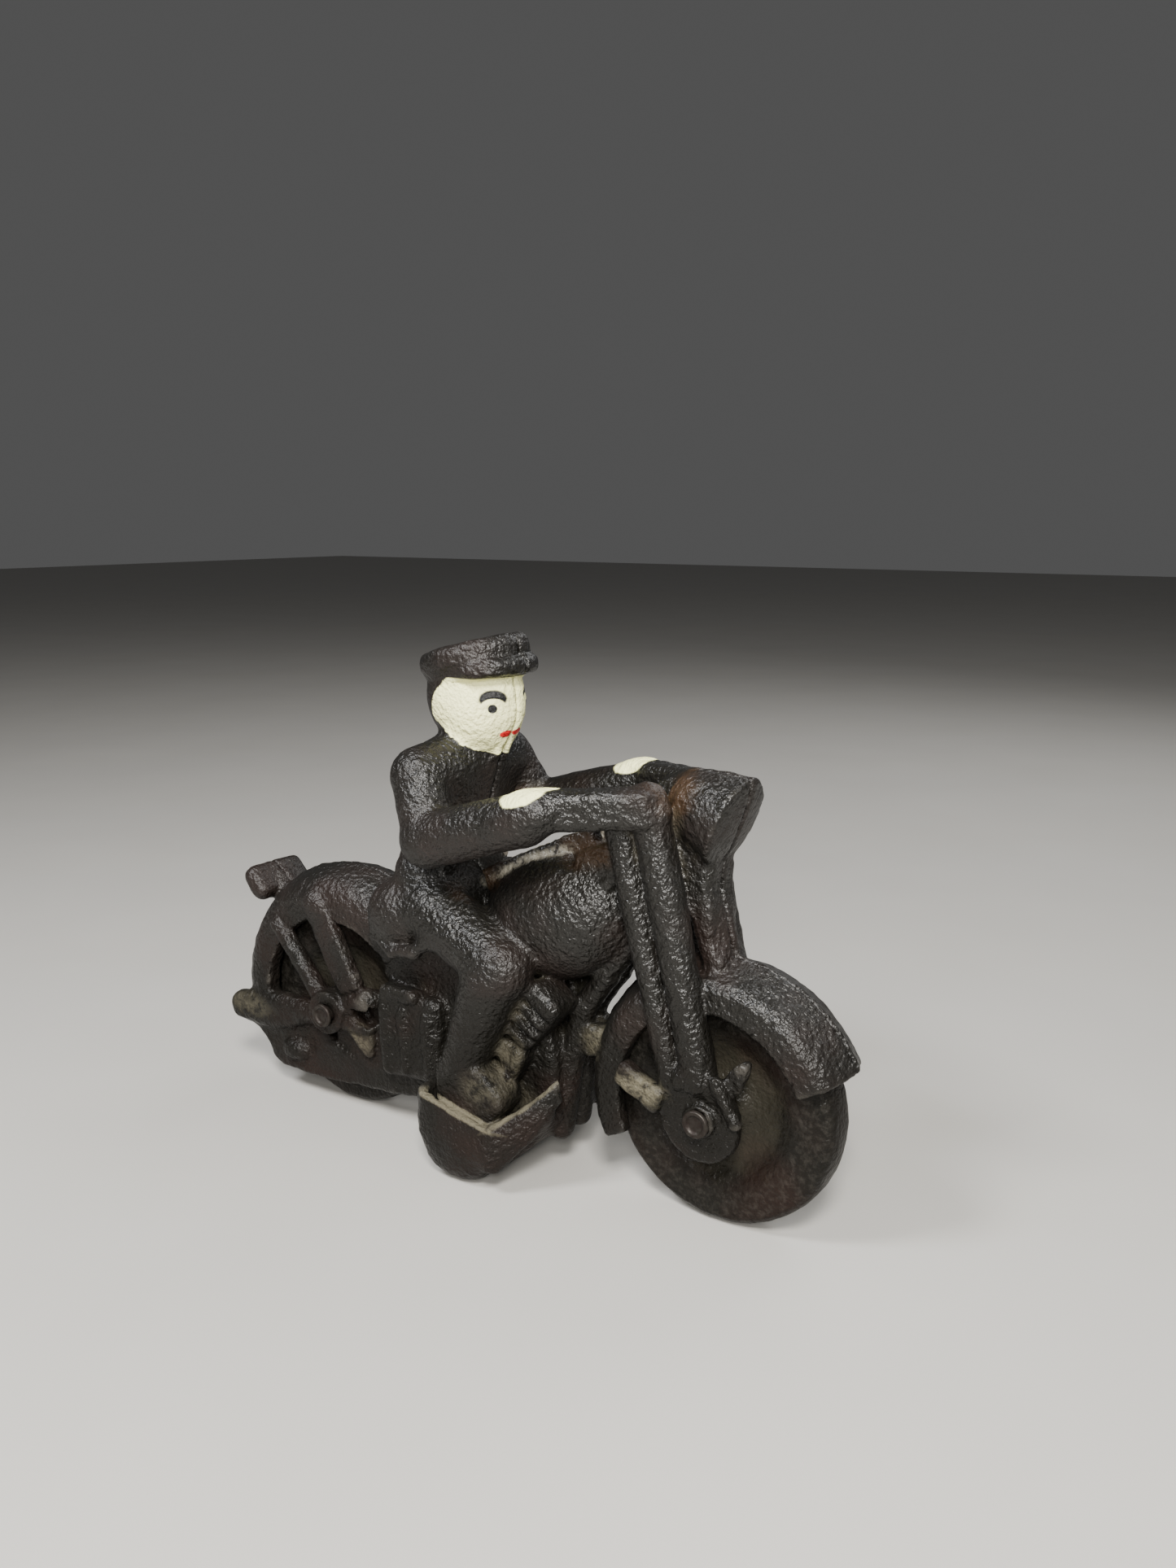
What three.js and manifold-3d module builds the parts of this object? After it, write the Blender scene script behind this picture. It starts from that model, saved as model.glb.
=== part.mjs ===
// Cast iron motorcycle-and-rider coin bank. Millimetres, +X forward, +Y the rider's left, +Z up.
// Two hollow half castings meet on the plane y = 0 and hold two disc wheels on peened pins.
import * as THREE from "three";
import { mergeVertices } from "three/addons/utils/BufferGeometryUtils.js";
import Module from "manifold-3d";

const wasm = await Module();
wasm.setup();

// Driving dimensions
const WALL = 3.0; // casting wall round the coin chamber
const SEAM = 0.15; // half of the gap left between the two castings
const FIT = 0.3; // clearance between touching parts
const WHEEL_R = 25.5;
const TREAD = 4.8; // half width of a wheel
const FRONT_AXLE = [57.5, 0, WHEEL_R];
const REAR_AXLE = [-45, 0, WHEEL_R];
const PIN_R = 2.0;
const PIN_HEAD_R = 3.0;
const PIN_HEAD_T = 1.1;
const CHANNEL_R = WHEEL_R + 1.7; // inside of both mudguards
const CHANNEL_Y = TREAD + 1.3;
const FORK_OUT = 13.0; // outer face of the fork plates
const REAR_OUT = 13.4; // outer face of the rear axle bosses
const SCREW_R = 2.0;
const SCREW_HEAD_R = 3.8;
const SLOT = { length: 29, width: 5.0, rear: [-1.5, 65.5], front: [27.5, 78.5] };

const LEFT = 1;
const RIGHT = -1;

// A manifold-3d solid of a three.js geometry, turned right side out.
function solid(geometry) {
  const bare = geometry.clone();
  bare.deleteAttribute("normal");
  bare.deleteAttribute("uv");
  const merged = mergeVertices(bare, 1e-4);
  const triVerts = new Uint32Array(merged.index.array);
  const mesh = () =>
    new wasm.Mesh({ numProp: 3, vertProperties: merged.attributes.position.array, triVerts });
  const made = new wasm.Manifold(mesh());
  if (made.volume() > 0) return made;
  for (let i = 0; i < triVerts.length; i += 3) {
    [triVerts[i + 1], triVerts[i + 2]] = [triVerts[i + 2], triVerts[i + 1]];
  }
  return new wasm.Manifold(mesh());
}

const join = (list) => wasm.Manifold.union(list);

// Ellipsoid of three half axes, turned about Y by a nose-up angle in degrees.
function egg(centre, half, pitch = 0, around = 10) {
  const geometry = new THREE.SphereGeometry(1, around, Math.round(around * 0.7));
  geometry.scale(...half);
  geometry.rotateY(-THREE.MathUtils.degToRad(pitch));
  geometry.translate(...centre);
  return solid(geometry);
}

// Round bar of one radius bent through a list of points.
function rod(points, radius, sides = 8) {
  const path = new THREE.CatmullRomCurve3(
    points.map((p) => new THREE.Vector3(...p)),
    false,
    "centripetal",
  );
  const outline = Array.from({ length: sides }, (_, i) => {
    const a = (2 * Math.PI * i) / sides;
    return new THREE.Vector2(radius * Math.cos(a), radius * Math.sin(a));
  });
  const steps = points.length === 2 ? 1 : 2 * (points.length - 1);
  const shape = new THREE.Shape(outline);
  return solid(new THREE.ExtrudeGeometry(shape, { steps, extrudePath: path, bevelEnabled: false }));
}

// Plate with an outline in XZ, between two distances from the seam plane on one side.
function plate(outline, side, inner, outer) {
  const shape = new THREE.Shape(outline.map(([x, z]) => new THREE.Vector2(x, z)));
  const geometry = new THREE.ExtrudeGeometry(shape, { depth: outer - inner, bevelEnabled: false });
  geometry.rotateX(Math.PI / 2);
  geometry.translate(0, side > 0 ? outer : -inner, 0);
  return solid(geometry);
}

// Solid of revolution about an axle, from [radius, y] points.
function turned(profile, centre, segments = 32) {
  const geometry = new THREE.LatheGeometry(
    profile.map(([r, y]) => new THREE.Vector2(r, y)),
    segments,
  );
  geometry.translate(...centre);
  return solid(geometry);
}

// Plain disc about an axle between two y values.
const disc = (centre, radius, y0, y1, segments = 16) =>
  turned([[0, y0], [radius, y0], [radius, y1], [0, y1]], [centre[0], 0, centre[2]], segments);

// Pie slice of the XZ plane round a centre, from one angle to another in degrees.
function slice(centre, radius, from, to) {
  const outline = [[centre[0], centre[2]]];
  const steps = Math.ceil((to - from) / 20);
  for (let i = 0; i <= steps; i++) {
    const a = THREE.MathUtils.degToRad(from + ((to - from) * i) / steps);
    outline.push([centre[0] + radius * Math.cos(a), centre[2] + radius * Math.sin(a)]);
  }
  return plate(outline, LEFT, -40, 40);
}

// The whole space on one side of the seam.
function halfSpace(side) {
  const geometry = new THREE.BoxGeometry(260, 60, 200);
  geometry.translate(0, side * (30 + SEAM), 60);
  return solid(geometry);
}

// ---- Wheels and pins ----

// Disc wheel: crowned tread, broad flat rim, dished web and a hub with a bore.
function wheel(centre) {
  const bore = PIN_R + FIT;
  const rim = 16.5;
  const dish = 2.6;
  const profile = [
    [bore, -TREAD],
    [6, -TREAD],
    [7.5, -dish],
    [rim - 3.5, -dish],
    [rim, -TREAD + 0.3],
    [WHEEL_R - 1.6, -TREAD],
    [WHEEL_R - 0.4, -TREAD + 1.3],
    [WHEEL_R, -TREAD + 3.2],
  ];
  const mirrored = profile.map(([r, y]) => [r, -y]).reverse();
  return turned([...profile, ...mirrored, profile[0]], centre, 36);
}

// Axle pin with a peened head at each end.
function pin(centre, outer) {
  const end = outer + FIT;
  const top = end + PIN_HEAD_T;
  const half = [[PIN_R, end], [PIN_HEAD_R, end], [PIN_HEAD_R - 0.5, top - 0.2], [1.4, top]];
  const lower = half.map(([r, y]) => [r, -y]).reverse();
  return turned([[0, -top + 0.4], ...lower, ...half, [0, top - 0.4]], centre, 16);
}

// ---- Mudguards ----

// Boxy ring section: flat crown, sloped shoulder, short side wall.
function guard(centre, crown, shoulderY, sideR, innerR, from, to) {
  const upper = [
    [crown, 0],
    [crown - 0.8, shoulderY - 3],
    [sideR, shoulderY],
    [innerR, shoulderY],
    [innerR, CHANNEL_Y],
    [CHANNEL_R, CHANNEL_Y],
  ];
  const lower = upper.slice(1).map(([r, y]) => [r, -y]).reverse();
  const ring = turned([...upper, ...lower, upper[0]], [centre[0], 0, centre[2]], 28);
  return ring.intersect(slice(centre, 60, from, to));
}

const wheelChannel = (centre) => disc(centre, CHANNEL_R, -CHANNEL_Y, CHANNEL_Y, 28);

// ---- Outside of one half ----

function frontEnd(side) {
  const y = (d) => side * d;
  const [ax, , az] = FRONT_AXLE;
  const lamp = new THREE.LatheGeometry(
    [[0, -15], [4, -14], [6.8, -11], [8.6, -6], [9.7, -1.2], [9.7, 0], [0, 1]].map(
      ([r, d]) => new THREE.Vector2(r, d),
    ),
    16,
  );
  lamp.rotateZ(-Math.PI / 2);
  lamp.rotateY(THREE.MathUtils.degToRad(21));
  lamp.translate(57.9, 0, 83.9);
  const panelFront = [[44, 88], [56, 76], [54.6, 71], [56.4, 66], [58.2, 58], [59, 54], [55, 50]];
  const panelBack = [[51.5, 60], [46, 78], [40, 86]];
  const plateFin = [[59.5, 30], [62, 35], [66.5, 37.4], [66, 33], [64, 29]];
  return [
    guard(FRONT_AXLE, 31, 9, 25.5, 21.2, 24, 206),
    solid(lamp),
    plate([...panelFront, ...panelBack], side, 0, 6.4),
    // Fork: two tubes to a round axle plate with a raised edge and a fin in front
    rod([[44.6, y(9.6), 88], [56.6, y(9.6), 31]], 4),
    rod([[37.2, y(9.8), 84.5], [51, y(10), 30]], 2.7),
    egg([41.5, y(10.2), 86.6], [7.5, 3.7, 4]),
    plate(roundOutline(ax - 0.9, az - 0.7, 9), side, 7.4, FORK_OUT - 1),
    disc(FRONT_AXLE, 4.2, y(7.4), y(FORK_OUT)),
    plate(plateFin, side, 8.4, 10.6),
    rod([[60.4, y(11.4), 34], [65.2, y(11.4), 26.8]], 1.4, 6),
    // Light stay from the mudguard to the axle plate
    rod([[36, y(9), 31.8], [49, y(11.4), 26.8]], 2.3, 6),
  ];
}

// Round outline in XZ.
function roundOutline(x, z, r, steps = 12) {
  return Array.from({ length: steps }, (_, i) => {
    const a = (2 * Math.PI * i) / steps;
    return [x + r * Math.cos(a), z + r * Math.sin(a)];
  });
}

function rider(side) {
  const y = (d) => side * d;
  return [
    // Cap: crown rising to the front, and a short peak
    egg([-7.6, 0, 113], [13, 11.4, 5], 14),
    egg([0.5, 0, 111], [9, 10.4, 2.2], 6),
    // Head, face and neck
    egg([-7.5, 0, 104.5], [11.2, 9.8, 11.5]),
    egg([-4.2, 0, 100.3], [7.8, 9, 9.8]),
    egg([-8.5, 0, 91], [7.2, 7.8, 7]),
    // Shoulders, chest leaning forward over the waist, hips
    egg([-9.8, y(6.5), 89], [7.4, 11.5, 7.2]),
    egg([-11.8, 0, 83], [8, 16, 10]),
    egg([-15.8, 0, 72], [8.4, 14, 12]),
    egg([-16, 0, 58.5], [13, 14.2, 9.5]),
    // Arm and hand on the handlebar
    rod([[-11.4, y(15), 89.5], [-5.2, y(20), 75.6]], 5.8),
    egg([-6, y(20), 76.4], [6.2, 5.6, 6]),
    rod([[-6, y(20.2), 76.6], [20, y(21), 84.4]], 5),
    egg([23.2, y(21), 85.6], [6.4, 4.9, 4.8], 12),
    rod([[20, y(21), 85.4], [46, y(10.6), 87]], 4.1),
    // Coat skirt over the saddle
    egg([-17.5, y(11.5), 54.4], [8.8, 7.8, 8.4]),
    egg([-15.5, y(11.5), 64.5], [5.5, 4.8, 6], 15),
    // Thigh, knee, shin and boot
    rod([[-11, y(11.5), 57.5], [9.4, y(15.2), 50.2]], 6.8),
    egg([10.6, y(15.8), 48.6], [7.2, 6.8, 7.4]),
    rod([[10, y(15.8), 48.5], [2.6, y(16.8), 22]], 5.8),
    egg([6.4, y(17.2), 19.2], [9, 4.4, 4.8], -4),
  ];
}

function body(side) {
  const y = (d) => side * d;
  const barrel = { foot: [8.5, 8.8, 28], top: [23.6, 8.8, 48.8] };
  const along = (t) =>
    barrel.foot.map((v, i) => (i === 1 ? y(v) : v + (barrel.top[i] - v) * t));
  const fins = [0.3, 0.46, 0.62, 0.78].map((t) => fin(along(t), along(1.2), 5.8, 1.8));
  const tube = [[40, 2.4, 62], [30.5, 2.4, 47], [24.6, 2.4, 37], [21, 3, 27], [18.5, 3.5, 10]];
  const crankcase = [[-24, 16], [-14, 9], [14, 7], [20, 14], [20, 30], [13, 45], [-12, 54], [-27, 53]];
  return [
    // Tank, its neck to the fork and the lips round the coin slot
    egg([18.2, 0, 59.4], [21, 14.6, 14.8], 21, 16),
    rod([[26, y(2.5), 70.5], [47, y(3), 80]], 5.2),
    plate([[-1.8, 66.3], [27.2, 79.9], [29.6, 74], [0.6, 60.9]], side, 2.3, 5.6),
    // Frame: down tube and its web to the mudguard
    rod(tube.map(([x, d, z]) => [x, y(d), z]), 2.8),
    plate([[22, 36], [30.5, 35.5], [32, 31.5], [27.5, 28.5], [22, 28]], side, 0, 4.6),
    // Engine: crankcase, cylinder with fins, wedge-shaped lug
    plate(crankcase, side, 0, 9),
    rod([along(0), along(1)], 4.8),
    ...fins,
    plate([[6.4, 33], [16.4, 30.6], [10.6, 20]], side, 6, 14.4),
    egg([2, y(6), 22], [10, 6, 9.5]),
    // Tool box behind the leg
    plate([[-28.4, 14.6], [-9.6, 14], [-9.4, 35], [-28, 36]], side, 0, 12.8),
    ...footboard(side),
  ];
}

// Thin round fin centred on a point, square to the line towards a second point.
function fin(at, towards, radius, thickness) {
  const axis = new THREE.Vector3(...towards).sub(new THREE.Vector3(...at)).normalize();
  const geometry = new THREE.CylinderGeometry(radius, radius, thickness, 10);
  geometry.applyQuaternion(
    new THREE.Quaternion().setFromUnitVectors(new THREE.Vector3(0, 1, 0), axis),
  );
  geometry.translate(...at);
  return solid(geometry);
}

// Boat-shaped tray with a sloping rim, standing on the ground, and its wall to the down tube.
function footboard(side) {
  const tray = [[-10.4, 20], [-11, 10], [-5, 0], [8.5, 0], [13.4, 6], [13.2, 14]];
  const hollow = [[-8.4, 24], [-8.2, 15.6], [10.4, 12], [11.4, 24]];
  const front = [[6, 1], [9, 12], [17, 24], [21.4, 24], [21, 12], [15, 4]];
  const deck = plate(tray, side, 9, 22.6).subtract(plate(hollow, side, 11.5, 20.8));
  return [deck, plate(front, side, 3, 12.5)];
}

function rearEnd(side) {
  const y = (d) => side * d;
  const tail = egg([-73.6, 0, 52.6], [3, 9.2, 5.2], -45);
  const fishtail = [[-85.7, 22], [-85, 16.6], [-67, 15.4], [-52, 20], [-52, 25.6], [-68, 25.4]];
  const webBottom = [[-80, 17], [-71, 13.6], [-67.4, 6.2], [-52, 5.8], [-17, 9], [-14, 14]];
  return [
    guard(REAR_AXLE, 34.9, 10, 30.6, 22.8, 42, 192),
    tail,
    rod([[-68, 0, 47.5], [-73.5, 0, 52.5]], 3.5),
    plate([[-29, 36], [-19, 36], [-14, 64], [-31, 58]], side, CHANNEL_Y, 9.4),
    // Struts, axle boss, exhaust and lower web
    rod([[-64, y(9), 44], [-48.4, y(9.9), 27.6]], 1.8, 6),
    rod([[-51.6, y(9.2), 53], [-38, y(9.8), 30]], 2.7, 6),
    disc(REAR_AXLE, 5.4, y(CHANNEL_Y), y(REAR_OUT)),
    plate(fishtail, side, CHANNEL_Y, 10.6),
    rod([[-56, y(9.2), 22.6], [-34, y(9.8), 24.4]], 2.6),
    plate([...webBottom, [-30, 15], [-38, 13.6], [-52, 20]], side, CHANNEL_Y, 9.4),
    plate([[-47, 17.5], [-37, 13.5], [-20, 12], [-20, 34], [-40, 31]], side, CHANNEL_Y, 9),
    egg([-59, y(9), 12], [4.8, 2.8, 2.8]),
  ];
}

// ---- Inside of one half ----

const slotAngle = Math.atan2(SLOT.front[1] - SLOT.rear[1], SLOT.front[0] - SLOT.rear[0]);

// Slot through the tank top, sloping with the tank.
function coinSlot() {
  const geometry = new THREE.BoxGeometry(SLOT.length, SLOT.width, 16);
  geometry.rotateY(-slotAngle);
  geometry.translate(
    (SLOT.rear[0] + SLOT.front[0]) / 2,
    0,
    (SLOT.rear[1] + SLOT.front[1]) / 2,
  );
  return solid(geometry);
}

// Coin chamber: tank, chest, hips, head and crankcase, one wall inside the skin.
function chamber() {
  const inner = (half) => half.map((v) => v - WALL);
  return join([
    egg([18.2, 0, 59.4], inner([21, 14.6, 14.8]), 21, 14),
    egg([-11.8, 0, 83], inner([8, 16, 10])),
    egg([-15.8, 0, 72], inner([8.4, 14, 12])),
    egg([-16, 0, 58.5], inner([13, 14.2, 9.5])),
    egg([-7.5, 0, 103], inner([11.2, 9.8, 11.5])),
    rod([[-8.5, 0, 99], [-10, 0, 84]], 4.4),
    plate([[-11, 16], [13, 12], [16, 17], [16.5, 29], [9, 50], [-9, 54]], LEFT, -6, 6),
  ]);
}

// ---- Screws through the halves, put in from the left ----

const SCREWS = {
  body_screw: { at: [-13, 0, 66], head: 13.2, tip: -8.5 },
  crankcase_screw: { at: [-3, 0, 26], head: 9.6, tip: -6 },
};

// Round-head screw with a slotted head.
function screw({ at, head, tip }) {
  const top = head + 2.2;
  const shank = turned(
    [[0, tip], [SCREW_R, tip + 1], [SCREW_R, head], [SCREW_HEAD_R, head], [2.9, top - 0.6], [0, top]],
    at,
    20,
  );
  const cut = new THREE.BoxGeometry(10, 1.6, 1.1);
  cut.translate(at[0], top, at[2]);
  return shank.subtract(solid(cut));
}

// Pillar round a screw, with the hole for its shank; the right one is blind.
function pillar(side, { at, head, tip }) {
  const skin = side === LEFT ? head - FIT : -tip + 2.5;
  return disc(at, SCREW_R + 2.4, side * SEAM, side * skin, 12);
}

function screwHole(side, { at, head, tip }) {
  if (side === RIGHT) return disc(at, SCREW_R + FIT, tip - FIT, 1, 12);
  return join([
    disc(at, SCREW_R + FIT, -1, head + 1, 12),
    disc(at, SCREW_HEAD_R + FIT, head - FIT, head + 20, 16),
  ]);
}

// ---- One casting ----

function casting(side) {
  const skin = join([...frontEnd(side), ...rider(side), ...body(side), ...rearEnd(side)]);
  const screws = Object.values(SCREWS);
  const shell = skin
    .subtract(chamber())
    .add(join(screws.map((s) => pillar(side, s))))
    .subtract(join([coinSlot(), wheelChannel(FRONT_AXLE), wheelChannel(REAR_AXLE)]))
    .subtract(join(screws.map((s) => screwHole(side, s))))
    .subtract(disc(FRONT_AXLE, PIN_R + FIT, -30, 30))
    .subtract(disc(REAR_AXLE, PIN_R + FIT, -30, 30));
  return shell.intersect(halfSpace(side));
}

// ---- Group ----

const BLACK_IRON = { color: 0x1d1b1a, roughness: 0.5, metalness: 0.35 };
const BARE_STEEL = { color: 0x5a564f, roughness: 0.45, metalness: 0.85 };

const group = new THREE.Group();

function addPart(name, made, finish) {
  const data = made.getMesh();
  const geometry = new THREE.BufferGeometry();
  geometry.setAttribute("position", new THREE.BufferAttribute(data.vertProperties, 3));
  geometry.setIndex(new THREE.BufferAttribute(data.triVerts, 1));
  geometry.computeVertexNormals();
  const part = new THREE.Mesh(geometry, new THREE.MeshStandardMaterial(finish));
  part.name = name;
  group.add(part);
}

addPart("right_casting", casting(RIGHT), BLACK_IRON);
addPart("left_casting", casting(LEFT), BLACK_IRON);
addPart("front_wheel", wheel(FRONT_AXLE), BLACK_IRON);
addPart("rear_wheel", wheel(REAR_AXLE), BLACK_IRON);
addPart("front_axle_pin", pin(FRONT_AXLE, FORK_OUT), BARE_STEEL);
addPart("rear_axle_pin", pin(REAR_AXLE, REAR_OUT), BARE_STEEL);
for (const [name, spec] of Object.entries(SCREWS)) addPart(name, screw(spec), BARE_STEEL);

export default group;
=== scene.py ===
"""Looks for the cast iron motorcycle coin bank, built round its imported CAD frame.

The two castings, the wheels, the pins and the screws are distance fields sampled on a grid, so that
fillets, the sand-cast skin and the open seam are real geometry. Fields are in millimetres, in the
axes of the frame, with w the distance from the seam plane on either side.
"""

import math

import bpy
import numpy as np
import openvdb
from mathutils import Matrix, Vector


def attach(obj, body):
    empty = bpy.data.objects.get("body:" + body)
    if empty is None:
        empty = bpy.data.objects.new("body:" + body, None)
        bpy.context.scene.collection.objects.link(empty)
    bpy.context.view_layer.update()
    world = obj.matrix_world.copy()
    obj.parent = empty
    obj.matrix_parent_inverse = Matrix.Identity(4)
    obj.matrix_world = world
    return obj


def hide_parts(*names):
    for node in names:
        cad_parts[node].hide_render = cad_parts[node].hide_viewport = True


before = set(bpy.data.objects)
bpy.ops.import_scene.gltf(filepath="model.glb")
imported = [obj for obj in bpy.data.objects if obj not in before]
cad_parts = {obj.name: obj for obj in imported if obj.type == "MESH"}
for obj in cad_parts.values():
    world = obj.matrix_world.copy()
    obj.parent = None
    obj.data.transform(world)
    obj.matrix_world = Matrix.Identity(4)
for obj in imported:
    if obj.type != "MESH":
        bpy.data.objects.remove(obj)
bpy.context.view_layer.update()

# ---- Driving dimensions, in millimetres ----

CELL = 0.5  # grid step of the castings
WHEEL_CELL = 0.45
FINE_CELL = 0.3  # grid step of pins and screws
FAR = 60.0  # distance given to empty space
SEAM_REACH = -3  # w where shapes that cross the seam plane end
CAST_LOW = (-89, -1.5, -1)  # corners of the castings' grid
CAST_HIGH = (89, 28, 122)
PAST_SIDE = 30  # w outside both castings, where through holes end

WHEEL_R = 25.5
TREAD = 4.8  # half the width of the tyre
FRONT = (57.5, WHEEL_R)  # wheel centres in X and Z
REAR = (-45.0, WHEEL_R)
CHANNEL_R = WHEEL_R + 1.7  # the mudguard's hollow round the wheel
CHANNEL_W = TREAD + 1.3
PIN_R = 2.0
FIT = 0.3  # clearance round pins and screws
WALL = 3.0  # casting wall round the coin chamber

# Rounded forms that the coin chamber follows: centre, half sizes, pitch in degrees
TANK = ((18.2, 0, 59.4), (21, 14.6, 14.8), 21)
CHEST = ((-11.8, 0, 83), (8, 16, 10), 0)
WAIST = ((-15.8, 0, 72), (8, 14, 12), 0)
HIPS = ((-16, 0, 58.5), (13, 14.2, 9.5), 0)
SKULL_HALF = (11.2, 9.8, 11.5)

SLOT_CENTRE = (13, 0, 72)
SLOT_HALF = (14.5, 2.5, 8)
SLOT_PITCH = 24.2
LIP_SLOPE = 0.46  # rise of the slot's lips along X
LIP_Z = 71.5  # height of the lips at the slot's centre

SCREWS = {
    "body_screw": {"x": -13.0, "z": 66.0, "head": 13.2, "tip": 8.5},
    "crankcase_screw": {"x": -3.0, "z": 26.0, "head": 9.6, "tip": 6.0},
}
SCREW_R = 2.0
SCREW_HEAD_R = 3.8
PILLAR_R = SCREW_R + 2.4  # pillars inside the castings that take the screws
CYLINDER_CENTRE = (16.2, 9.2, 38.4)
CYLINDER_LEAN = 51.0  # degrees up from X


# ---- Distance field shapes: each is (low corner, high corner, field of x, w, z) ----


def rotated(x, z, cx, cz, pitch):
    """x and z about a centre, in axes turned nose-up by pitch degrees."""
    c, s = math.cos(math.radians(pitch)), math.sin(math.radians(pitch))
    dx, dz = x - cx, z - cz
    return c * dx + s * dz, c * dz - s * dx


def egg(centre, half, pitch=0.0):
    """Ellipsoid."""
    cx, cw, cz = centre
    a, b, c = half
    reach = max(half)

    def field(x, w, z):
        u, v = rotated(x, z, cx, cz, pitch)
        t = w - cw
        k0 = np.sqrt((u / a) ** 2 + (t / b) ** 2 + (v / c) ** 2)
        k1 = np.sqrt((u / a**2) ** 2 + (t / b**2) ** 2 + (v / c**2) ** 2)
        return k0 * (k0 - 1) / np.maximum(k1, 1e-6)

    return (cx - reach, cw - b, cz - reach), (cx + reach, cw + b, cz + reach), field


def rod(a, b, ra, rb=None):
    """Round bar with ball ends and its own radius at each end."""
    rb = ra if rb is None else rb
    a, b = np.array(a, float), np.array(b, float)
    ab = b - a
    r = max(ra, rb)

    def field(x, w, z):
        t = (x - a[0]) * ab[0] + (w - a[1]) * ab[1] + (z - a[2]) * ab[2]
        t = np.clip(t / (ab @ ab), 0, 1)
        d2 = (x - a[0] - t * ab[0]) ** 2 + (w - a[1] - t * ab[1]) ** 2
        return np.sqrt(d2 + (z - a[2] - t * ab[2]) ** 2) - (ra + t * (rb - ra))

    return tuple(np.minimum(a, b) - r), tuple(np.maximum(a, b) + r), field


def outline_distance(points, u, v):
    """Signed distance to a closed outline in two coordinates."""
    best = np.full(np.broadcast(u, v).shape, 1e9, np.float32)
    inside = np.zeros(best.shape, bool)
    for (u0, v0), (u1, v1) in zip(points, points[1:] + points[:1]):
        eu, ev = u1 - u0, v1 - v0
        t = np.clip(((u - u0) * eu + (v - v0) * ev) / (eu * eu + ev * ev), 0, 1)
        best = np.minimum(best, (u - u0 - t * eu) ** 2 + (v - v0 - t * ev) ** 2)
        crosses = (v0 > v) != (v1 > v)
        inside ^= crosses & (u < eu * (v - v0) / (ev if ev else 1e-9) + u0)
    return np.where(inside, -1, 1) * np.sqrt(best)


def rounded_join(d2, half_gap, r):
    """Distance to an extrusion from its outline distance and its distance to the end planes."""
    p, q = d2 + r, half_gap + r
    return np.minimum(np.maximum(p, q), 0) + np.hypot(np.maximum(p, 0), np.maximum(q, 0)) - r


def eased(points, reach):
    """An outline with each corner cut off at a reach from its point."""
    out = []
    for i, point in enumerate(points):
        for other in (points[i - 1], points[(i + 1) % len(points)]):
            share = min(0.35, reach / math.dist(point, other))
            out.append(tuple(a + share * (b - a) for a, b in zip(point, other)))
    return out


def plate(points, w0, w1, r=0.6):
    """Plate with a round-cornered outline in XZ between two distances from the seam plane."""
    points = eased(eased(points, 1.8), 0.6)
    xs, zs = zip(*points)

    def field(x, w, z):
        d2 = outline_distance(points, x, z)
        return rounded_join(d2, np.abs(w - (w0 + w1) / 2) - (w1 - w0) / 2, r)

    return (min(xs), w0, min(zs)), (max(xs), w1, max(zs)), field


def puck(centre, half, r, pitch=0.0):
    """Oval disc lying flat, with rounded edges."""
    cx, cw, cz = centre
    a, b, c = half

    def field(x, w, z):
        u, v = rotated(x, z, cx, cz, pitch)
        k0 = np.sqrt((u / a) ** 2 + ((w - cw) / b) ** 2)
        k1 = np.sqrt((u / a**2) ** 2 + ((w - cw) / b**2) ** 2)
        return rounded_join(k0 * (k0 - 1) / np.maximum(k1, 1e-6), np.abs(v) - c, r)

    return (cx - a, cw - b, cz - a), (cx + a, cw + b, cz + a), field


def block(centre, half, r, pitch=0.0):
    """Box with rounded edges."""
    cx, cw, cz = centre
    reach = max(half[0], half[2]) * 1.45

    def field(x, w, z):
        u, v = rotated(x, z, cx, cz, pitch)
        qx, qw, qz = np.abs(u) - half[0] + r, np.abs(w - cw) - half[1] + r, np.abs(v) - half[2] + r
        out = np.maximum(qx, 0) ** 2 + np.maximum(qw, 0) ** 2 + np.maximum(qz, 0) ** 2
        return np.sqrt(out) + np.minimum(np.maximum(np.maximum(qx, qw), qz), 0) - r

    return (cx - reach, cw - half[1], cz - reach), (cx + reach, cw + half[1], cz + reach), field


def beam(a, b, across, up, r):
    """Rounded bar of rectangular section between two points; across and up are half sizes."""
    a, b = np.array(a, float), np.array(b, float)
    mid, half = (a + b) / 2, np.linalg.norm(b - a) / 2
    e = (b - a) / (2 * half)
    side = np.array([-e[1], e[0], 0]) / math.hypot(e[0], e[1])
    top = np.cross(e, side)
    reach = across + up

    def field(x, w, z):
        q = []
        for axis, size in ((e, half), (side, across), (top, up)):
            along = axis[0] * (x - mid[0]) + axis[1] * (w - mid[1]) + axis[2] * (z - mid[2])
            q.append(np.abs(along) - size + r)
        out = sum(np.maximum(v, 0) ** 2 for v in q)
        return np.sqrt(out) + np.minimum(np.maximum(np.maximum(q[0], q[1]), q[2]), 0) - r

    return tuple(np.minimum(a, b) - reach), tuple(np.maximum(a, b) + reach), field


def upright(points, origin, yaw, half, r):
    """Upright wall with an outline along a line in plan from origin, yaw degrees from X outwards."""
    c, s = math.cos(math.radians(yaw)), math.sin(math.radians(yaw))
    ends = [(origin[0] + c * t, origin[1] + s * t) for t, _ in points]
    xs, ws = zip(*ends)
    zs = [z for _, z in points]

    def field(x, w, z):
        along = c * (x - origin[0]) + s * (w - origin[1])
        across = c * (w - origin[1]) - s * (x - origin[0])
        return rounded_join(outline_distance(points, along, z), np.abs(across) - half, r)

    return (min(xs) - half, min(ws) - half, min(zs)), (max(xs) + half, max(ws) + half, max(zs)), field


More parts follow.
